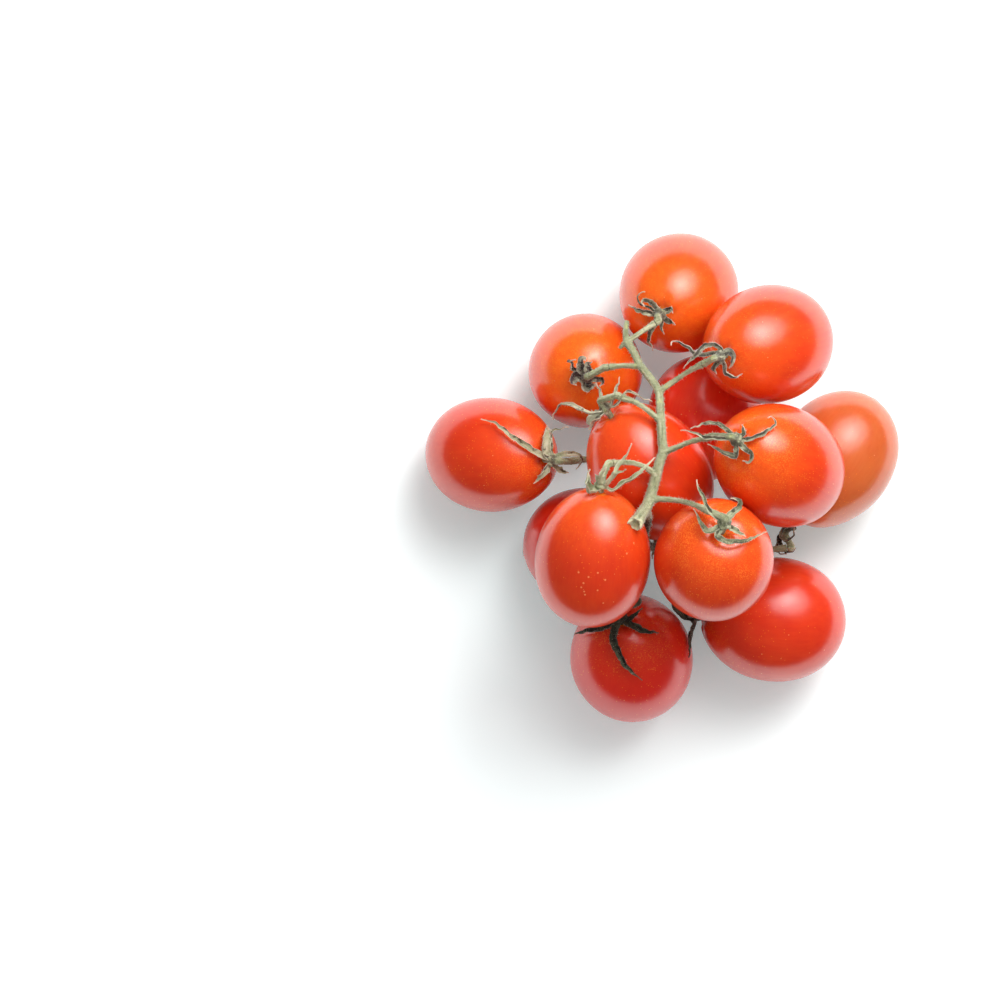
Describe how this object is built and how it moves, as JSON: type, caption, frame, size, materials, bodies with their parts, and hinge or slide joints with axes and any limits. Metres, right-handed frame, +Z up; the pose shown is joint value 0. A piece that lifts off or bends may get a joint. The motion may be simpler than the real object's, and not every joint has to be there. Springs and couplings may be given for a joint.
{
  "type": "truss of cherry plum tomatoes",
  "caption": "Truss of cherry plum tomatoes as picked, lying in a pile: orange-red oval fruits on a pale grey-green vine with curled, partly dried calyxes.",
  "frame": {"origin": "middle of the bounding box in plan, on the surface that the truss lies on", "axes": "+Z up from the surface; +X to the picture's right; +Y to the picture's top"},
  "size_m": [0.1202, 0.124, 0.0743],
  "materials": {
    "tomato_skin": "ripe tomato skin, orange-red and glossy, with fine golden speckles near the stem end",
    "vine_green": "fresh vine, pale grey-green, matt and finely haired",
    "calyx_green": "wilted sepals, grey-green with dark brown dried patches and curled tips"
  },
  "bodies": {
    "root": {"vine": "vine_green", "calyx_01": "calyx_green", "calyx_02": "calyx_green", "calyx_03": "calyx_green", "calyx_04": "calyx_green", "calyx_05": "calyx_green", "calyx_06": "calyx_green", "calyx_07": "calyx_green", "calyx_08": "calyx_green", "calyx_09": "calyx_green", "calyx_10": "calyx_green", "calyx_11": "calyx_green", "calyx_12": "calyx_green", "calyx_13": "calyx_green", "tomato_01": "tomato_skin", "tomato_02": "tomato_skin", "tomato_03": "tomato_skin", "tomato_04": "tomato_skin", "tomato_05": "tomato_skin", "tomato_06": "tomato_skin", "tomato_07": "tomato_skin", "tomato_08": "tomato_skin", "tomato_09": "tomato_skin", "tomato_10": "tomato_skin", "tomato_11": "tomato_skin", "tomato_12": "tomato_skin", "tomato_13": "tomato_skin"}
  },
  "joints": []
}
